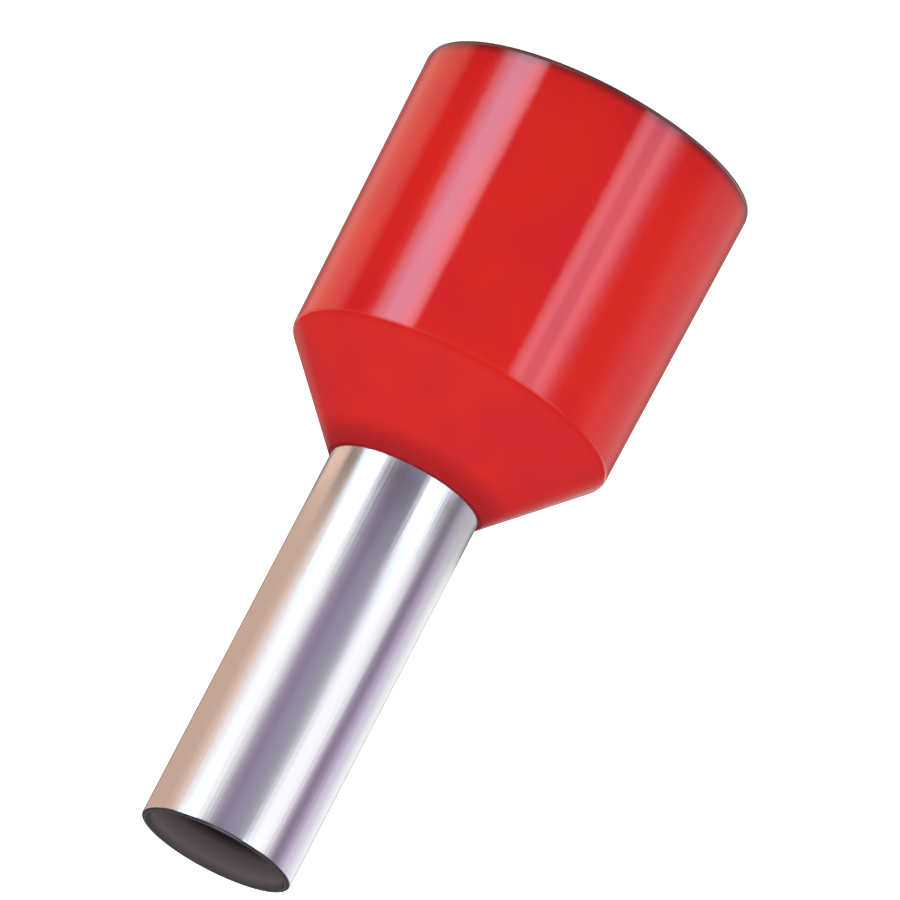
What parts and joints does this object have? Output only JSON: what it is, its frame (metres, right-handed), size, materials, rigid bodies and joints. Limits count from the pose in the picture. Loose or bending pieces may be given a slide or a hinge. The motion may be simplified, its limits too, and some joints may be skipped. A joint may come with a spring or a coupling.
{
  "type": "wire ferrule",
  "caption": "Insulated wire ferrule: a thin crimp tube with a flared entry, seated in a moulded plastic collar with a funnel inside.",
  "frame": {"origin": "centre of the collar's open rim, on which the ferrule stands", "axes": "+Z along the ferrule's axis, from the collar's rim towards the crimp end; it is a body of revolution, so X and Y are free"},
  "size_m": [0.0094, 0.0094, 0.022],
  "materials": {
    "tinned_copper": "bright tin plating over a drawn copper tube",
    "red_polypropylene": "glossy injection moulding"
  },
  "bodies": {
    "root": {"crimp_sleeve": "tinned_copper", "insulating_collar": "red_polypropylene"}
  },
  "joints": []
}
